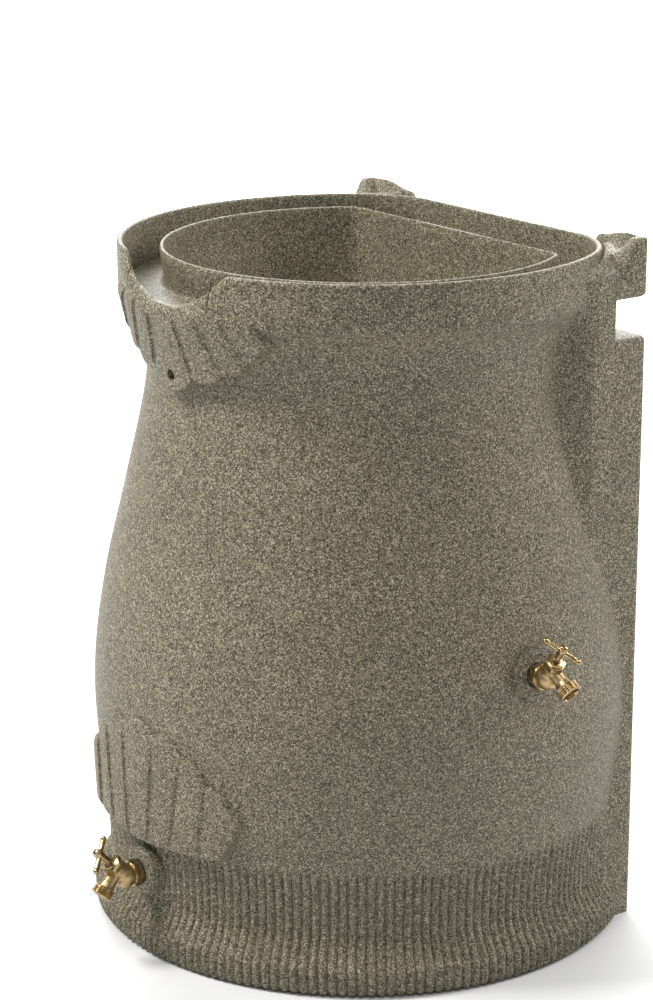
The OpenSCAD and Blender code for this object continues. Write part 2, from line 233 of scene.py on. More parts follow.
def baked(obj):
    """Applies the object's modifiers."""
    evaluated = obj.evaluated_get(bpy.context.evaluated_depsgraph_get())
    mesh = bpy.data.meshes.new_from_object(evaluated)
    obj.modifiers.clear()
    obj.data = mesh
    return obj


def cut_away(obj, tools):
    """Cuts the (points, faces) tools out of the object."""
    cutter = mesh_object("cutter", join_meshes(tools))
    modifier = obj.modifiers.new("cut", "BOOLEAN")
    modifier.object, modifier.solver = cutter, "EXACT"
    baked(obj)
    bpy.data.objects.remove(cutter)
    obj.data.shade_smooth()
    return obj


def merged(name, objects):
    """One object from several, keeping each one's sharp edges."""
    with bpy.context.temp_override(
        active_object=objects[0], selected_editable_objects=objects, selected_objects=objects
    ):
        bpy.ops.object.join()
    objects[0].name = objects[0].data.name = name
    return objects[0]


def finish_piece(obj, material, body, slot, *nodes):
    """Gives a piece its material and the body it rides on, and hides the CAD nodes that it stands for. The
    slot is not used.
    """
    obj.data.materials.clear()
    obj.data.materials.append(material)
    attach(obj, body)
    if nodes:
        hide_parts(*nodes)
    return obj


# ---------------------------------------------------------------- materials


class Nodes:
    """Short calls for building a node material."""

    def __init__(self, name):
        self.material = bpy.data.materials.new(name)
        self.material.use_nodes = True
        self.tree = self.material.node_tree
        self.shader = self.tree.nodes["Principled BSDF"]
        self.place = self.tree.nodes.new("ShaderNodeTexCoord").outputs["Object"]

    def set(self, **values):
        for name, value in values.items():
            self.shader.inputs[name.replace("_", " ")].default_value = value

    def link(self, out, socket):
        self.tree.links.new(out, self.shader.inputs[socket])

    def noise(self, scale, detail=2.0, roughness=0.5, stretch=(1, 1, 1)):
        place = self.place
        if stretch != (1, 1, 1):
            mapping = self.tree.nodes.new("ShaderNodeMapping")
            mapping.inputs["Scale"].default_value = stretch
            self.tree.links.new(place, mapping.inputs["Vector"])
            place = mapping.outputs["Vector"]
        node = self.tree.nodes.new("ShaderNodeTexNoise")
        node.inputs["Scale"].default_value = scale
        node.inputs["Detail"].default_value = detail
        node.inputs["Roughness"].default_value = roughness
        self.tree.links.new(place, node.inputs["Vector"])
        return node.outputs["Fac"]

    def grains(self, size):
        """A random value from 0 to 1 for each cell of that size in metres."""
        node = self.tree.nodes.new("ShaderNodeTexVoronoi")
        node.inputs["Scale"].default_value = 1 / size
        self.tree.links.new(self.place, node.inputs["Vector"])
        split = self.tree.nodes.new("ShaderNodeSeparateColor")
        self.tree.links.new(node.outputs["Color"], split.inputs["Color"])
        return split.outputs["Red"]

    def ramp(self, value, *stops, constant=False):
        """Colours by value: each stop is (position, (r, g, b)) or (position, grey)."""
        node = self.tree.nodes.new("ShaderNodeValToRGB")
        if constant:
            node.color_ramp.interpolation = "CONSTANT"
        elements = node.color_ramp.elements
        while len(elements) < len(stops):
            elements.new(1)
        for element, (position, colour) in zip(elements, stops):
            rgb = colour if isinstance(colour, tuple) else (colour,) * 3
            element.position, element.color = position, (*rgb, 1)
        self.tree.links.new(value, node.inputs["Fac"])
        return node.outputs["Color"]

    def mixed(self, how, factor, a, b):
        """Mixes two colours; factor, a and b are outputs or plain values."""
        node = self.tree.nodes.new("ShaderNodeMix")
        node.data_type, node.blend_type = "RGBA", how
        for index, value in ((0, factor), (6, a), (7, b)):
            if isinstance(value, bpy.types.NodeSocket):
                self.tree.links.new(value, node.inputs[index])
            else:
                node.inputs[index].default_value = value
        return node.outputs[2]

    def bump(self, height, strength, distance):
        node = self.tree.nodes.new("ShaderNodeBump")
        node.inputs["Strength"].default_value = strength
        node.inputs["Distance"].default_value = distance
        self.tree.links.new(height, node.inputs["Height"])
        previous = self.shader.inputs["Normal"]
        if previous.is_linked:
            self.tree.links.new(previous.links[0].from_socket, node.inputs["Normal"])
        self.link(node.outputs["Normal"], "Normal")


def stone_plastic():
    """Rotomoulded plastic with dark and cream grains in an olive-grey base."""
    n = Nodes("stone_plastic")
    grain = n.grains(0.00125)
    base = n.ramp(
        grain, (0, (0.032, 0.027, 0.016)), (0.17, (0.09, 0.077, 0.047)), (0.4, (0.155, 0.135, 0.085)),
        (0.7, (0.245, 0.218, 0.146)), (0.88, (0.4, 0.367, 0.265)), constant=True,
    )
    fine = n.ramp(n.noise(1300, 2, 0.6), (0.3, 0.78), (0.7, 1.22))
    colour = n.mixed("MULTIPLY", 1.0, base, fine)
    patches = n.ramp(n.noise(9, 3, 0.55), (0.3, 0.94), (0.7, 1.06))
    n.link(n.mixed("MULTIPLY", 1.0, colour, patches), "Base Color")
    n.link(n.ramp(n.noise(400, 2), (0.3, 0.5), (0.7, 0.64)), "Roughness")
    n.bump(n.noise(900, 2, 0.6), 0.15, 0.0003)
    n.bump(n.noise(60, 2, 0.5), 0.1, 0.001)
    n.set(Specular_IOR_Level=0.36)
    return n.material


def brass(name, roughness, bump):
    """Cast brass, with faint tarnish in patches and a fine cast skin."""
    n = Nodes(name)
    tarnish = n.noise(160, 4, 0.6)
    n.link(n.ramp(tarnish, (0.3, (0.28, 0.19, 0.08)), (0.75, (0.62, 0.475, 0.265))), "Base Color")
    low, high = roughness
    n.link(n.ramp(n.noise(420, 3, 0.6), (0.3, low), (0.7, high)), "Roughness")
    n.bump(n.noise(1400, 2, 0.5), bump, 0.0002)
    n.set(Metallic=1.0)
    return n.material


def rubber():
    n = Nodes("rubber")
    n.link(n.ramp(n.noise(700, 3), (0.3, (0.012, 0.012, 0.012)), (0.7, (0.03, 0.029, 0.028))), "Base Color")
    n.link(n.ramp(n.noise(250, 2), (0.3, 0.6), (0.7, 0.8)), "Roughness")
    n.bump(n.noise(1500, 2), 0.2, 0.0002)
    return n.material


def black_plastic():
    n = Nodes("black_plastic")
    n.link(n.ramp(n.noise(300, 3), (0.3, (0.02, 0.019, 0.018)), (0.7, (0.035, 0.033, 0.03))), "Base Color")
    n.link(n.ramp(n.noise(120, 2), (0.3, 0.38), (0.7, 0.52)), "Roughness")
    n.bump(n.noise(1100, 2), 0.25, 0.0003)
    return n.material


def stainless():
    n = Nodes("stainless")
    lines = n.noise(300, 2, 0.5, stretch=(1, 14, 1))
    n.link(n.ramp(lines, (0.3, (0.52, 0.52, 0.53)), (0.7, (0.68, 0.68, 0.68))), "Base Color")
    n.link(n.ramp(lines, (0.3, 0.24), (0.7, 0.38)), "Roughness")
    n.bump(lines, 0.1, 0.0002)
    n.set(Metallic=1.0)
    return n.material


def floor_material():
    n = Nodes("pale_floor")
    n.link(n.ramp(n.noise(3, 2), (0.3, 0.7), (0.7, 0.73)), "Base Color")
    n.set(Roughness=0.9, Specular_IOR_Level=0.1)
    return n.material


# ---------------------------------------------------------------- shell


def smooth_curve(knots, steps):
    """Catmull-Rom curve through [radius, height] knots."""
    knots = np.array(knots, float)
    before, after = np.vstack([knots[:1], knots[:-1]]), np.vstack([knots[1:], knots[-1:]])
    out = []
    for i in range(len(knots) - 1):
        p0, p1, p2, p3 = before[i], knots[i], knots[i + 1], after[i + 1]
        for t in np.arange(steps) / steps:
            out.append(0.5 * (
                2 * p1 + (p2 - p0) * t + (2 * p0 - 5 * p1 + 4 * p2 - p3) * t * t
                + (3 * p1 - p0 - 3 * p2 + p3) * t * t * t
            ))
    return np.array(out + [knots[-1]])


BODY = np.vstack([FOOT_PROFILE, smooth_curve(BODY_KNOTS, 8)])


def body_radius(z):
    """Outer radius of the round wall without ribs, with the foot's rounded lower edge."""
    return np.interp(z, BODY[:, 1], BODY[:, 0]) - roll(z, 12)


def block_radius(angle, inset=0.0):
    """Distance from the axis to the rounded block behind it, inset all round."""
    a, b = BLOCK_HALF_W - inset, BACK_Y - inset
    c = np.maximum(BLOCK_CORNER - inset, 1.0)
    cos, sin = np.abs(np.cos(angle)) + 1e-9, np.sin(angle)
    sin = np.where(sin > 1e-6, sin, 1e-6)
    side, back = a / cos, b / sin
    flat = np.minimum(side, back)
    along = (a - c) * cos + (b - c) * sin
    inside = along * along - ((a - c) ** 2 + (b - c) ** 2 - c * c)
    corner = along + np.sqrt(np.maximum(inside, 0))
    on_corner = (flat * sin > b - c) & (flat * cos > a - c)
    return np.where(on_corner, corner, flat)


def flat_radius(angle, flat):
    """Distance from the axis to a flat back; far out elsewhere."""
    sin = np.sin(angle)
    return np.where(sin > 0.3, flat / np.maximum(sin, 0.3), 1e6)


def d_radius(angle, r, flat):
    """Distance from the axis to a circle of radius r with a flat back, whose broad corners end in a hook."""
    cos, sin = np.abs(np.cos(angle)), np.sin(angle)
    corner = CORNER_SHARE * r
    cy = flat + HOOK - corner
    cx = math.sqrt((r - corner) ** 2 - cy * cy)
    first, last = math.atan2(cy, cx), math.atan2(flat + HOOK, cx)
    turn = np.arctan2(sin, cos)
    along = cx * cos + cy * sin
    arc = along + np.sqrt(np.maximum(along * along - (cx * cx + cy * cy - corner * corner), 0))
    return np.minimum(np.where(turn < first, r, np.where(turn < last, arc, 1e6)), flat_radius(angle, flat))


def outer_radius(angle, z):
    """Distance from the axis to the shell's outer surface, without fans, bosses and lip."""
    column = np.degrees(angle) * DEGREE
    fade = 1 - smoothstep(RIB_TOP_Z, RIB_FADE_Z, z)
    ribs = RIB_DEPTH * (2 * np.abs(np.sin(column * math.pi / RIB_PITCH)) - 1) * fade
    off_back = np.abs((np.degrees(angle) - 90 + 180) % 360 - 180)
    reach = block_radius(angle) * mix(0.72, 1.0, 1 - smoothstep(62, 73, off_back))
    block = np.where(off_back < 85, reach, 0)
    r = smooth_max(body_radius(z) + ribs, block, mix(3.0, 30.0, smoothstep(430, 620, z)))
    return np.minimum(r, flat_radius(angle, BACK_Y))


def grip_radius(angle):
    """Distance from the axis to the back of the hand grips' pockets."""
    cos, sin = np.maximum(np.abs(np.cos(angle)), 1e-3), np.maximum(np.sin(angle), 1e-3)
    return np.maximum(GRIP_R, np.maximum(GRIP_X / cos, GRIP_Y / sin))


def rim_height(angle):
    """Height of the lip, with the overflow scoop in the front."""
    x = RIM_R * np.cos(angle)
    scoop = NOTCH_Z + NOTCH_R - np.sqrt(np.maximum(NOTCH_R**2 - x * x, 0))
    scoop = np.where((np.sin(angle) < 0) & (np.abs(x) < NOTCH_R), scoop, NOTCH_Z + NOTCH_R)
    return smooth_min(scoop, np.full_like(scoop, float(RIM_Z)), 9)


def in_scoop(rim):
    """Whether the rim is well down in the overflow scoop."""
    return rim < 800


def lip_size(angle):
    """(radial, vertical) size of the lip's outer rounding: broad round the scoop, small elsewhere."""
    off_front = np.abs((np.degrees(angle) + 90 + 180) % 360 - 180)
    near = 1 - smoothstep(17, 27, off_front)
    return mix(3.5, 5.5, near), mix(3.0, 16.0, near)


def lip_drop(angle, z):
    """How far the outer surface has rolled in at height z."""
    radial, vertical = lip_size(angle)
    down = np.clip(rim_height(angle) - z, 0, vertical)
    return radial * (1 - np.sqrt(1 - ((vertical - down) / vertical) ** 2))


def ear_height(x, y):
    """Height of the ears behind the round rim: a scoop with a thin back edge and a post at the corner."""
    side, back = BLOCK_HALF_W - np.abs(x), BACK_Y - y
    floor = EAR_FLOOR_Z - roll(side, 44)
    fin = FIN_Z + (EAR_Z - FIN_Z) * smoothstep(175, 225, np.abs(x)) - roll(back, 2.5)
    height = mix(floor, fin, 1 - smoothstep(3.5, 12, back))
    post = EAR_Z - roll(np.minimum(side, back), 5)
    on_post = (1 - smoothstep(12, 30, side)) * (1 - smoothstep(14, 44, back))
    return mix(height, post, on_post)


def ring_row(columns, r, z):
    """(columns, points) of one closed row of the shell."""
    angle = np.radians(columns / DEGREE)
    r, z = np.broadcast_to(r, angle.shape), np.broadcast_to(z, angle.shape)
    return columns, np.stack([r * np.cos(angle), r * np.sin(angle), z], -1)


def stitched(rows):
    """Faces between neighbouring closed rows. Where the columns change, they take in the extra points."""
    points, faces = [row for _, row in rows], []
    start = np.cumsum([0] + [len(row) for row in points]).tolist()
    for i in range(len(rows) - 1):
        low, high = rows[i][0], rows[i + 1][0]
        shared = np.intersect1d(low, high)
        at_low, at_high = np.searchsorted(low, shared), np.searchsorted(high, shared)
        for k in range(len(shared)):
            a, b = at_low[k], at_low[(k + 1) % len(shared)]
            c, d = at_high[k], at_high[(k + 1) % len(shared)]
            if k == len(shared) - 1:
                b, d = b + len(low), d + len(high)
            lower = [start[i] + j % len(low) for j in range(a, b + 1)]
            upper = [start[i + 1] + j % len(high) for j in range(c, d + 1)]
            faces.append(tuple(lower + upper[::-1]))
    return np.concatenate(points), faces


def column_set(step, *finer):
    """Columns every `step` degrees, and every given step between the given degrees."""
    sets = [np.arange(0, TURN, round(step * DEGREE))]
    for fine, low, high in finer:
        run = np.arange(round(low * DEGREE), round(high * DEGREE) + 1, round(fine * DEGREE))
        sets.append(run % TURN)
    return np.unique(np.concatenate(sets))


def wall_rows():
    """Rows from the middle of the underside up the outside, to just below the hand grips."""
    inner, ribbed = column_set(2), column_set(1 / 3)
    plain = column_set(1, (0.5, 25, 60), (0.5, 120, 155))
    levels = [(ribbed, float(z)) for z in FOOT_LEVELS] + [(plain, z) for z in np.linspace(160, 704, 69)]
    rows = [ring_row(inner, 40.0, 0.0), ring_row(inner, 180.0, 0.0)]
    rows += [ring_row(columns, outer_radius(np.radians(columns / DEGREE), z), z) for columns, z in levels]
    return rows


def grip_rows(columns, angle, start, rim):
    """Rows past the hand grips, up to the height where the rim, the scoop and the ears part."""
    pocket = grip_radius(angle)
    has_grip = outer_radius(angle, GRIP_LOW_Z) > pocket + 1
    rows = []
    for z in GRIP_EDGE_LEVELS:
        r = outer_radius(angle, z)
        r = np.where(has_grip, np.maximum(r - roll(GRIP_LOW_Z - z, GRIP_EDGE_R), pocket), r)
        rows.append(ring_row(columns, r, z))
    for z in np.linspace(GRIP_LOW_Z + 0.1, LEDGE_Z - 0.1, 16):
        r = outer_radius(angle, z)
        rows.append(ring_row(columns, np.where(has_grip, np.minimum(r, pocket), r), z))
    for share in (0, 0.08, 0.18, 0.32, 0.5, 0.7, 0.85):
        z = mix(start, np.where(in_scoop(rim), mix(start, rim, 0.4), GRIP_TOP_Z), share)
        r = outer_radius(angle, z) - lip_drop(angle, z)
        r = np.where(has_grip, np.maximum(r - roll(z - LEDGE_Z, GRIP_EDGE_R), pocket), r)
        rows.append(ring_row(columns, r, z))
    return rows


def ear_rows(columns, angle, start, rim, ring):
    """Rows from the block's upper edge inwards over the ears; elsewhere they go on up the wall."""
    cos, sin = np.cos(angle), np.sin(angle)
    outside = outer_radius(angle, 800.0)
    rows = []
    for k, inset in enumerate(EAR_INSETS):
        share = k / (len(EAR_INSETS) - 1)
        z = np.where(in_scoop(rim), mix(start, rim, 0.4 + 0.12 * share), mix(GRIP_TOP_Z, EAR_FOOT_Z, share))
        r = np.maximum(np.minimum(block_radius(angle, inset), outside - 0.9 * inset), ring)
        r = np.where(sin > 0.3, r, outer_radius(angle, z) - lip_drop(angle, z))
        ear = smoothstep(0.5, 6, r - ring) * (sin > 0.3)
        joint = smoothstep(150, 172, np.abs(r * cos)) * (1 - smoothstep(172, 190, np.abs(r * cos)))
        z = np.where(sin > 0.6, mix(z, mix(808, 817, share), joint), z)
        rows.append(ring_row(columns, r, mix(z, ear_height(r * cos, r * sin), ear)))
    return rows


def lip_rows(columns, angle, rim, ring, last_z):
    """Rows up the lip from the heights last_z, over its top and down the well to the planter's ledge."""
    rows = []
    for share in LIP_SHARES:
        z = mix(last_z, rim, 1 - (1 - share) ** 1.6)
        edge = np.where(np.sin(angle) > 0.3, ring, outer_radius(angle, z))
        rows.append(ring_row(columns, edge - lip_drop(angle, z), z))
    apex = np.hypot(rows[-1][1][:, 0], rows[-1][1][:, 1])
    well = d_radius(angle, WELL_R, BACK_Y - WALL)
    drop = np.minimum(apex - well, 3.0)
    for t in np.radians((30, 60, 90)):
        rows.append(ring_row(columns, mix(apex, well, math.sin(t)), rim - drop * (1 - math.cos(t))))
    rows += [ring_row(columns, well, mix(rim - 3.5, LEDGE_Z, share)) for share in (0.3, 0.6, 1)]
    ledge = d_radius(angle, LEDGE_R, LEDGE_BACK_Y)
    rows += [ring_row(columns, ledge, float(z)) for z in (LEDGE_Z, LEDGE_Z - LEDGE_H)]
    return rows


def inside_rows():
    """Rows down the inside of the tank, to the middle of its floor."""
    inner = column_set(2)
    angle = np.radians(inner / DEGREE)
    flat = flat_radius(angle, BACK_Y - WALL)
    rows = [ring_row(inner, np.minimum(body_radius(z) - WALL, flat), float(z)) for z in INSIDE_LEVELS]
    return rows + [ring_row(inner, 180.0, float(WALL)), ring_row(inner, 40.0, float(WALL))]


def shell_rows():
    """Closed rows up the outside of the shell, over the lip, down the well and round the tank."""
    top = column_set(1, (0.5, 20, 62), (0.5, 118, 160), (0.5, 235, 305))
    angle = np.radians(top / DEGREE)
    rim, ring = rim_height(angle), d_radius(angle, RIM_R, BACK_Y)
    start = LEDGE_Z + 0.1
    rows = wall_rows() + grip_rows(top, angle, start, rim) + ear_rows(top, angle, start, rim, ring)
    rows += lip_rows(top, angle, rim, ring, rows[-1][1][:, 2])
    return rows + inside_rows()


def caps(rows):
    """End faces of the shell's first and last row, at the middle of the floor."""
    first, last = len(rows[0][0]), len(rows[-1][0])
    total = sum(len(columns) for columns, _ in rows)
    return [tuple(range(first))[::-1], tuple(range(total - last, total))]


def scallop(p, q, bulge, shares):
    """Points at the given shares of an arc from p to q that bulges up by `bulge`."""
    p, q = np.array(p, float), np.array(q, float)
    d = q - p
    chord = np.hypot(*d)
    r = (chord * chord / 4 + bulge * bulge) / (2 * bulge)
    side = np.array([-d[1], d[0]]) / chord
    centre = (p + q) / 2 - side * (r - bulge)
    half, middle = math.asin(min(chord / 2 / r, 1)), math.atan2(side[1], side[0])
    turn = middle + half - 2 * half * np.asarray(shares)
    return centre + r * np.stack([np.cos(turn), np.sin(turn)], -1)


PETAL_SHARES = np.array([0, 0.012, 0.026, 0.042, 0.065, 0.1, 0.17, 0.27, 0.38, 0.5, 0.62, 0.73, 0.83, 0.9,
                         0.935, 0.958, 0.974, 0.988])


def petal_pad(outline, bulges, ends, ways, face_radius, inner_radius, ridge_span):
    """A raised fan of petals. `outline` and `ends` are the petals' corners along the scalloped edge and along
    the straight edge, left to right, and `ways` are the shares of the way from the second to the first."""
    edge, base, share_in, width = [], [], [], []
    count = len(outline) - 1
    for i in range(count):
        shares = PETAL_SHARES if i < count - 1 else np.append(PETAL_SHARES, 1)
        edge.append(scallop(outline[i], outline[i + 1], bulges[i], shares))
        a, b = np.array(ends[i], float), np.array(ends[i + 1], float)
        base.append(a + (b - a) * shares[:, None])
        share_in.append(shares)
        width.append(np.full(len(shares), np.hypot(*(np.array(outline[i + 1]) - outline[i]))))
    edge, base = np.concatenate(edge), np.concatenate(base)
    share_in, width = np.concatenate(share_in), np.concatenate(width)
    petal = np.repeat(np.arange(count), [len(PETAL_SHARES)] * (count - 1) + [len(PETAL_SHARES) + 1])
    ways = np.asarray(ways)[:, None]
    x = base[:, 0] + (edge[:, 0] - base[:, 0]) * ways
    z = base[:, 1] + (edge[:, 1] - base[:, 1]) * ways
    long = np.hypot(edge[:, 0] - base[:, 0], edge[:, 1] - base[:, 1])
    to_crease = np.minimum(share_in, 1 - share_in) * width
    outer_left = np.where(petal == 0, share_in * width, 1e3)
    outer_right = np.where(petal == count - 1, (1 - share_in) * width, 1e3)
    at_side = np.minimum(outer_left, outer_right)
    is_crease = np.where((petal == 0) & (share_in < 0.5) | (petal == count - 1) & (share_in > 0.5), 0, 1)
    ridge = RIDGE_H * np.exp(-((to_crease / RIDGE_W) ** 2)) * is_crease
    low, high = ridge_span
    ridge = ridge * smoothstep(low, low + 0.07, ways) * (1 - smoothstep(high - 0.1, high, ways))
    crown = 1.2 * np.sin(math.pi * share_in) * np.ones_like(ways)
    near = np.minimum(np.minimum((1 - ways) * long, ways * long), at_side)
    r = face_radius(x, z) + ridge + crown - roll(near, PAD_EDGE_R)
    inner = inner_radius(z)
    front = np.stack([x, -np.sqrt(r * r - x * x), z], -1)
    behind = np.stack([x, -np.sqrt(inner * inner - x * x), z], -1)
    rows, columns = x.shape
    points = np.concatenate([front.reshape(-1, 3), behind.reshape(-1, 3)])
    faces = quads(rows, columns, False)
    back = rows * columns
    faces += [tuple(i + back for i in face[::-1]) for face in faces]
    rim = [j for j in range(columns)] + [i * columns + columns - 1 for i in range(1, rows)]
    rim += [(rows - 1) * columns + j for j in range(columns - 2, -1, -1)]
    rim += [i * columns for i in range(rows - 2, 0, -1)]
    for a, b in zip(rim, rim[1:] + rim[:1]):
        faces.append((a, b, b + back, a + back))
    return points, faces


def flipped(points):
    """The points turned upside down."""
    return [(x, -z) for x, z in points]


def mirrored_run(half):
    """Left-to-right points from the right half's."""
    return [(-x, z) for x, z in half[::-1]] + list(half)


def spread(first, count, last):
    """Shares of the way between two rows of points, dense at both ends."""
    return np.concatenate([first, np.linspace(0.085, 0.93, count), last])


def lower_fan():
    outline = mirrored_run([(31, 281), (76, 267), (111, 238), (152, 200)])
    ends = mirrored_run([(20, 143.4), (58, 146), (99, 148.9), (130, 151)])
    ways = spread((0, 0.003, 0.008, 0.016, 0.03), 16, (0.965, 0.98, 0.99, 0.996, 1))
    return petal_pad(
        outline, (5, 6, 9, 12, 9, 6, 5), ends, ways,
        lambda x, z: np.full_like(x, 327.0), lambda z: body_radius(z) - 5, (0.0, 0.97),
    )


def upper_fan():
    section = np.array([(665, 267), (695, 270), (720, 275), (742, 281), (765, 287), (800, 287)], float)
    corners = mirrored_run([(37, 693), (82, 704), (115, 722), (143, 748)])
    tops = np.array([21.5, 52, 88, 126])
    heights = np.minimum(rim_height(np.arcsin(tops / RIM_R) - math.pi / 2), 786)
    ends = mirrored_run(list(zip(tops, heights)))
    ways = spread((0, 0.004, 0.012, 0.026, 0.045, 0.065), 14, (0.955, 0.97, 0.984, 0.994, 1))

    def face(x, z):
        z = -z
        r = np.interp(z, section[:, 0], section[:, 1])
        angle = np.arcsin(np.clip(x / 287, -1, 1)) - math.pi / 2
        sink = 4.0 * smoothstep(770, 786, z) * smoothstep(45, 75, np.abs(x))
        return r - lip_drop(angle, z) - sink

    points, faces = petal_pad(
        flipped(corners), (5, 7, 8, 21, 8, 7, 5), flipped(ends), ways,
        face, lambda z: np.minimum(body_radius(-z), 281) - 5, (0.12, 0.985),
    )
    points[:, 2] *= -1
    return points, faces


def boss():
    """Round boss of a tap with its two rings, along the shank."""
    profile = [
        (13.6, -24), (28, -26), (28, -3.2), (27.7, -2.4), (27.1, -2), (26.3, -2), (25.9, -1.8), (25.6, -1),
        (25.3, -0.3), (24.6, 0), (23, 0), (22.5, -0.5), (21.6, -0.5), (21.1, 0), (13.6, 0),
    ]
    return moved(lathe(profile, 96, closed=True), SHANK)


def barrel_shell(material):
    rows = shell_rows()
    points, faces = stitched(rows)
    wall = mesh_object("shell_wall", (points, faces + caps(rows)), sharp=50)
    port = moved(cylinder(PORT_R, 0, 120, 32), placed((0, -200, PORT_Z), ("X", 90)))
    fan = mesh_object("upper_fan", upper_fan())
    for piece in (wall, fan):
        cut_away(piece, [port])
        piece.data.set_sharp_from_angle(angle=math.radians(50))
    low = mesh_object("lower_fan", lower_fan(), sharp=50)
    both = join_meshes([moved(boss(), place) for place in (UPPER_TAP, LOWER_TAP)])
    bosses = mesh_object("bosses", both, sharp=40)
    shell = merged("barrel_shell_detail", [wall, fan, low, bosses])
    return finish_piece(shell, material, "barrel", "stone_plastic", "barrel_shell")


# ---------------------------------------------------------------- planter


def planter(material):
    """Tray with a rounded pot lip, a fillet at the deck and the holes of the CAD tray."""
    columns = column_set(1, (0.5, 30, 60), (0.5, 120, 150))
    angle = np.radians(columns / DEGREE)
    pot_r, pot_z = np.array(POT_OUTLINE, float).T

    def pot(z, inset=0.0):
        r = np.interp(z, pot_z, pot_r) - inset
        return smooth_min(np.full_like(angle, r), np.minimum(flat_radius(angle, POT_BACK_Y - inset), 1e4), 14)

    deck = d_radius(angle, WELL_R - DECK_GAP, BACK_Y - WALL - DECK_GAP)
    rows = [ring_row(columns, 20.0, 640.0)]
    rows += [ring_row(columns, pot(z), float(z)) for z in (640, 641.5, 645, 650, 690, 730, LEDGE_Z)]
    rows += [ring_row(columns, deck - 0.6, float(LEDGE_Z)), ring_row(columns, deck, LEDGE_Z + 0.6)]
    rows += [ring_row(columns, deck, DECK_Z - 0.8), ring_row(columns, deck - 0.8, float(DECK_Z))]
    fillet = 6
    for t in np.radians((0, 22.5, 45, 67.5, 90)):
        r = pot(DECK_Z + fillet) + fillet * (1 - math.sin(t))
        rows.append(ring_row(columns, r, DECK_Z + fillet - fillet * math.cos(t)))
    rows += [ring_row(columns, pot(z), float(z)) for z in (790, 802, 810)]
    lip = POT_WALL / 2
    for t in np.radians((0, 45, 90, 135, 180)):
        rows.append(ring_row(columns, pot(810, lip) + lip * math.cos(t), 810 + lip * math.sin(t)))
    rows += [ring_row(columns, pot(z, POT_WALL), float(z)) for z in (800, 760, 700, 654)]
    rows += [ring_row(columns, pot(650, POT_WALL + d), z) for d, z in ((1, 648.5), (4, 645), (8, 644))]
    rows += [ring_row(columns, 20.0, 644.0)]
    points, faces = stitched(rows)
    tray = mesh_object("tray", (points, faces + caps(rows)), sharp=50)
    drain = cylinder(DRAIN_R, 0, 12, 24)
    tools = [moved(drain, placed(("Z", i * 60), (90, 0, 636))) for i in range(6)]
    tools.append(slot_prism(760, 772))
    cut_away(tray, tools)
    tray.data.set_sharp_from_angle(angle=math.radians(50))
    return finish_piece(tray, material, "planter", "stone_plastic", "planter_tray")


def slot_outline(r, steps=24):
    """Closed outline of the inlet slot, with ends of radius r."""
    turn = np.linspace(-math.pi / 2, math.pi / 2, steps)
    right = np.stack([INLET_HALF_L + r * np.cos(turn), r * np.sin(turn)], -1)
    return np.concatenate([right, -right]) + np.array([0, INLET_Y])


def slot_prism(low, high):
    outline = slot_outline(INLET_R)
    count = len(outline)
    points = np.concatenate([np.column_stack([outline, np.full(count, z)]) for z in (low, high)])
    return points, quads(2, count, True) + [tuple(range(count))[::-1], tuple(range(count, 2 * count))]


def screen_frame(material):
    """Moulded frame of the inlet screen, with rounded flange edges."""
    section = [
        (14.5, 750.6), (15, 750), (17, 750), (17.5, 750.6), (17.5, DECK_Z), (26, DECK_Z), (26.8, 768.5),
        (27, 769.4), (26.7, 770.4), (25.8, 771), (16, 771), (14.9, 770.6), (14.5, 769.6),
    ]
    rows = [np.column_stack([slot_outline(r), np.full(48, z)]) for r, z in section + section[:1]]
    part = np.concatenate(rows), quads(len(rows), 48, True)
    frame_piece = mesh_object("screen_frame_detail", part, sharp=40)
    return finish_piece(frame_piece, material, "planter", "black_plastic", "inlet_screen_frame")


def wire(points, across, radius=0.28, sides=5):
    """A thin wire through the points; `across` is a direction square to it in the plane of the mesh."""
    turn = np.arange(sides) * 2 * math.pi / sides
    ring = radius * (np.outer(np.cos(turn), across) + np.outer(np.sin(turn), [0, 0, 1]))
    grid = (points[:, None, :] + ring[None, :, :]).reshape(-1, 3)
    return grid, quads(len(points), sides, True)


def woven(along, pitch, turn):
    """Heights of a wire that passes over and under those that cross it."""
    return 0.3 * np.cos(math.pi * along / pitch + math.pi * turn)


def screen_mesh(material):
    """Woven wire mesh across the inlet."""
    pitch, step = 2.4, 0.8
    wires = []
    for i in range(-35, 36):
        x = i * pitch
        over = max(abs(x) - INLET_HALF_L, 0)
        if over >= MESH_R:
            continue
        reach = math.sqrt(MESH_R**2 - over**2)
        y = np.arange(-reach, reach, step)
        line = np.column_stack([np.full(len(y), x), INLET_Y + y, MESH_Z + woven(y, pitch, i)])
        wires.append(wire(line, [1, 0, 0]))
    for i in range(-6, 7):
        y = i * pitch
        reach = INLET_HALF_L + math.sqrt(MESH_R**2 - y**2)
        x = np.arange(-reach, reach, step)
        line = np.column_stack([x, np.full(len(x), INLET_Y + y), MESH_Z - woven(x, pitch, i)])
        wires.append(wire(line, [0, 1, 0]))
    mesh = mesh_object("screen_mesh_detail", join_meshes(wires))
    return finish_piece(mesh, material, "planter", "stainless", "inlet_screen_mesh")


# ---------------------------------------------------------------- taps


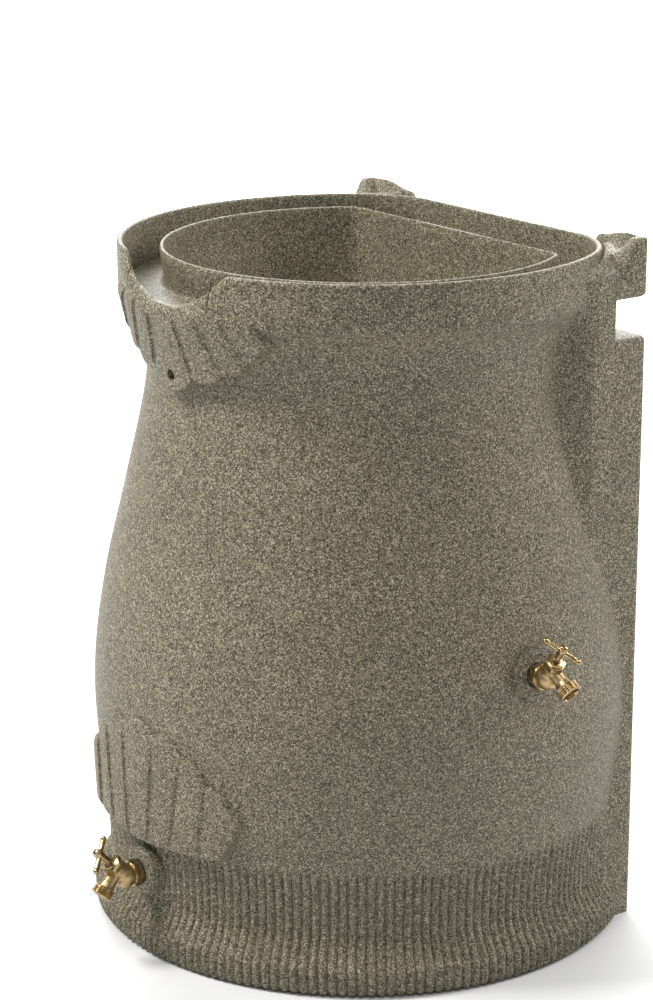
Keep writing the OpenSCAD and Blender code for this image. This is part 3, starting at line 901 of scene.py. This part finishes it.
def hexagon(radius, low, high, bevel, turn=0.0):
    """A hexagonal prism with rounded edges, along Z."""
    b = bmesh.new()
    ring = [b.verts.new((radius * math.cos(a), radius * math.sin(a), low))
            for a in np.radians(turn + np.arange(6) * 60)]
    top = [b.verts.new((v.co.x, v.co.y, high)) for v in ring]
    b.faces.new(ring[::-1])
    b.faces.new(top)
    for i in range(6):
        b.faces.new((ring[i], ring[(i + 1) % 6], top[(i + 1) % 6], top[i]))
    bmesh.ops.bevel(b, geom=b.edges, offset=bevel, segments=3, affect="EDGES", profile=0.5)
    b.verts.index_update()
    part = np.array([v.co for v in b.verts]), [tuple(v.index for v in f.verts) for f in b.faces]
    b.free()
    return part


def hose_thread():
    """Threaded hose end with its bore, along the outlet."""
    steps, pitch, depth = 72, 2.2, 1.3
    start = OUTLET_L - THREAD_L
    turn = np.arange(steps) * 2 * math.pi / steps
    rows = [np.full(steps, r) for r in (7.0, HOSE_R - 1.6, HOSE_R - 0.4, HOSE_R)]
    heights = [start - 1.2, start - 1.0, start - 0.3, start]
    for z in np.arange(start + 1.1, OUTLET_L - 0.7, 0.22):
        wave = 0.5 - 0.5 * np.cos(2 * math.pi * (z / pitch) - turn)
        fade = min((z - start - 1.0) / 0.8, 1) * min((OUTLET_L - 0.5 - z) / 0.8, 1)
        rows.append(HOSE_R - depth * (1 - max(fade, 0) * (1 - wave**0.8)))
        heights.append(z)
    inside = [
        (HOSE_R - 1.3, -0.6), (HOSE_R - 1.7, 0), (11.2, 0), (10.85, -0.4), (10.85, -7.8), (10.4, -8),
        (6.6, -8), (OUTLET_BORE_R, -8.5), (OUTLET_BORE_R, -30),
    ]
    for r, down in inside:
        rows.append(np.full(steps, r))
        heights.append(OUTLET_L + down)
    r, z = np.array(rows), np.repeat(np.array(heights)[:, None], steps, 1)
    points = np.stack([r * np.cos(turn), r * np.sin(turn), z], -1).reshape(-1, 3)
    return points, quads(len(rows), steps, True)


def cylinder(radius, low, high, steps=64):
    return lathe([(0, low), (radius, low), (radius, high), (0, high)], steps)


def cast_body(name, place):
    """The body's cast part, its joins melted into one skin, with the outlet bored through."""
    ball = [(14.5 * math.cos(a), 14.5 * math.sin(a)) for a in np.radians(np.linspace(-90, 90, 33))]
    solids = [
        moved(cylinder(13, 8, 20), SHANK),
        moved(lathe(ball), placed((19, 0, 0)) @ SHANK),
        moved(cylinder(11, 0, 21), STEM),
        moved(cylinder(8.2, 0, OUTLET_L - THREAD_L + 0.5), OUTLET),
        moved(lathe([(0, 20), (8.2, 20), (9.6, 26), (9.9, 27.5), (0, 27.5)]), OUTLET),
    ]
    body = mesh_object(name, moved(join_meshes(solids), place))
    remesh = body.modifiers.new("skin", "REMESH")
    remesh.mode, remesh.voxel_size = "VOXEL", 0.7 * MM
    smooth = body.modifiers.new("melt", "SMOOTH")
    smooth.factor, smooth.iterations = 0.5, 12
    baked(body)
    cut_away(body, [moved(cylinder(OUTLET_BORE_R, 8, 60, 32), place @ OUTLET)])
    body.data.set_sharp_from_angle(angle=math.radians(50))
    return body


def tap_body(prefix, place, cast, machined):
    """Tap body: cast part, hexagon against the boss, collar, threaded shank and hose thread."""
    body = cast_body(f"{prefix}_cast", place)
    shank = [(SHANK_BORE_R, -30), (SHANK_R - 0.8, -30), (SHANK_R, -29.2), (SHANK_R, 3), (SHANK_BORE_R, 3)]
    collar = [(11, 11), (15.2, 11.2), (15.6, 11.8), (15.6, 12.8), (15.2, 13.4), (13, 13.6), (11, 13.6)]
    shank_hex = moved(hexagon(16.2, 1.5, 11.3, 0.5, 30), SHANK)
    turned = [moved(lathe(profile, 64, closed=True), SHANK) for profile in (shank, collar)]
    fitted = mesh_object(f"{prefix}_fitted", moved(join_meshes([shank_hex, *turned]), place), sharp=35)
    thread = mesh_object(f"{prefix}_thread", moved(hose_thread(), place @ OUTLET), sharp=60)
    finish_piece(body, cast, "barrel", "brass", f"{prefix}_tap_body")
    for piece in (fitted, thread):
        finish_piece(piece, machined, "barrel", "brass")


def tap_bonnet(prefix, place, machined):
    """Hexagonal packing nut with a domed top."""
    crown = [(4.3, 29.4), (10.6, 29.4), (10.4, 30.2), (8.4, 31), (7.9, 31.8), (7.2, 32), (4.3, 32)]
    parts = [hexagon(12.7, 21.1, 30, 0.6), lathe(crown, 64, closed=True)]
    nut = mesh_object(f"{prefix}_bonnet_detail", moved(join_meshes(parts), place @ STEM), sharp=35)
    finish_piece(nut, machined, "barrel", "brass", f"{prefix}_tap_bonnet")


def tap_handle(prefix, place, turn, machined):
    """T-handle: hub, tapered bar with ball ends, and the domed slotted screw."""
    hub = [
        (3.5, 44), (4.5, 44), (5.0, 44.6), (5.2, 45.6), (5.0, 47), (5.2, 48.6), (5.3, 50), (5.3, 53),
        (5.2, 55), (4.9, 55.8), (4.4, 56), (3.5, 56),
    ]
    half = [(0, 25.0)]
    half += [(3.7 * math.cos(a), 21.3 + 3.7 * math.sin(a)) for a in np.radians(np.linspace(75, -40, 12))]
    half += [(3.2, 17), (3.1, 12), (3.0, 7), (3.3, 4.6), (3.6, 3.5), (0, 3.2)]
    arms = [placed((0, 0, 50), ("Z", turn), ("X", side * 90)) for side in (-1, 1)]
    parts = [lathe(hub, 64, closed=True)] + [moved(lathe(half[::-1], 40), arm) for arm in arms]
    handle = mesh_object(f"{prefix}_handle_detail", moved(join_meshes(parts), place @ STEM), sharp=50)
    finish_piece(handle, machined, f"{prefix}_stem", "brass", f"{prefix}_tap_handle")
    dome = [
        (0, 56), (4.4, 56), (4.6, 56.3), (4.6, 57.2), (4.3, 57.9), (3.6, 58.5), (2.6, 58.9), (1.4, 59.2),
        (0, 59.3),
    ]
    screw = mesh_object(f"{prefix}_handle_screw_detail", moved(lathe(dome, 48), place @ STEM), sharp=60)
    cut_away(screw, [moved(box_part((-0.6, -6, 58.4), (0.6, 6, 62)), place @ STEM)])
    screw.data.set_sharp_from_angle(angle=math.radians(40))
    finish_piece(screw, machined, f"{prefix}_stem", "brass", f"{prefix}_tap_handle_screw")


def box_part(low, high):
    points = [(x, y, z) for x in (low[0], high[0]) for y in (low[1], high[1]) for z in (low[2], high[2])]
    faces = [(0, 1, 3, 2), (4, 6, 7, 5), (0, 4, 5, 1), (2, 3, 7, 6), (0, 2, 6, 4), (1, 5, 7, 3)]
    return np.array(points, float), faces


# ---------------------------------------------------------------- scene


def dress_cad_nodes(materials):
    """Procedural materials for the CAD nodes that stay shown."""
    slots = {
        "stem": "machined", "lock_nut": "machined", "washer_screw": "machined", "packing": "rubber",
        "seat_washer": "rubber", "outer_gasket": "rubber", "inner_gasket": "rubber",
        "screen_screws": "stainless",
    }
    for name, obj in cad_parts.items():
        for ending, key in slots.items():
            if name.endswith(ending):
                obj.data.materials.clear()
                obj.data.materials.append(materials[key])


def direction(azimuth, elevation):
    a, e = math.radians(azimuth), math.radians(elevation)
    return Vector((math.sin(a) * math.cos(e), -math.cos(a) * math.cos(e), math.sin(e)))


def aim(obj, target):
    obj.rotation_euler = (Vector(target) - obj.location).to_track_quat("-Z", "Y").to_euler()


def add_camera():
    """The photograph's view: azimuth 52.5 degrees, 16 degrees down."""
    data = bpy.data.cameras.new("camera")
    data.lens, data.sensor_width = 104.1, 36
    camera = bpy.data.objects.new("camera", data)
    camera.location = (2.644, -2.029, 1.454)
    aim(camera, (-0.0252, -0.0328, 0.498))
    scene.collection.objects.link(camera)
    scene.camera = camera


def add_light(name, azimuth, elevation, distance, size, power, colour=(1, 1, 1)):
    data = bpy.data.lights.new(name, "AREA")
    data.shape, data.size, data.size_y = "RECTANGLE", *size
    data.energy, data.color = power, colour
    light = bpy.data.objects.new(name, data)
    light.location = direction(azimuth, elevation) * distance + Vector((0, 0, 0.4))
    aim(light, (0, 0, 0.4))
    scene.collection.objects.link(light)


def add_backdrop_light():
    """A wide panel high over the floor behind the barrel, which keeps the background white."""
    data = bpy.data.lights.new("backdrop", "AREA")
    data.size, data.energy = 10, 4000
    light = bpy.data.objects.new("backdrop", data)
    light.location = (-8.5, 6.7, 5.0)
    scene.collection.objects.link(light)


def add_studio():
    floor = bpy.data.meshes.new("floor")
    floor.from_pydata([(-30, -30, 0), (30, -30, 0), (30, 30, 0), (-30, 30, 0)], [], [(0, 1, 2, 3)])
    ground = bpy.data.objects.new("floor", floor)
    floor.materials.append(floor_material())
    scene.collection.objects.link(ground)
    world = bpy.data.worlds.new("studio")
    scene.world = world
    world.use_nodes = True
    world.node_tree.nodes["Background"].inputs["Color"].default_value = (1, 1, 1, 1)
    world.node_tree.nodes["Background"].inputs["Strength"].default_value = 0.3
    add_light("key", -32, 50, 4.5, (1.3, 1.3), 215)
    add_light("fill", 50, 66, 4.5, (2.5, 2.5), 62)
    add_light("rim", 152, 36, 4.5, (1.4, 2.4), 130)
    add_backdrop_light()
    scene.view_settings.view_transform = "Standard"


def main():
    add_camera()
    materials = {
        "plastic": stone_plastic(), "cast": brass("cast_brass", (0.3, 0.42), 0.3),
        "machined": brass("machined_brass", (0.14, 0.26), 0.12), "rubber": rubber(),
        "black": black_plastic(), "stainless": stainless(),
    }
    dress_cad_nodes(materials)
    barrel_shell(materials["plastic"])
    planter(materials["plastic"])
    screen_frame(materials["black"])
    screen_mesh(materials["stainless"])
    for prefix, place, turn in (("upper", UPPER_TAP, -66), ("lower", LOWER_TAP, 121.5)):
        tap_body(prefix, place, materials["cast"], materials["machined"])
        tap_bonnet(prefix, place, materials["machined"])
        tap_handle(prefix, place, turn, materials["machined"])
    add_studio()


main()
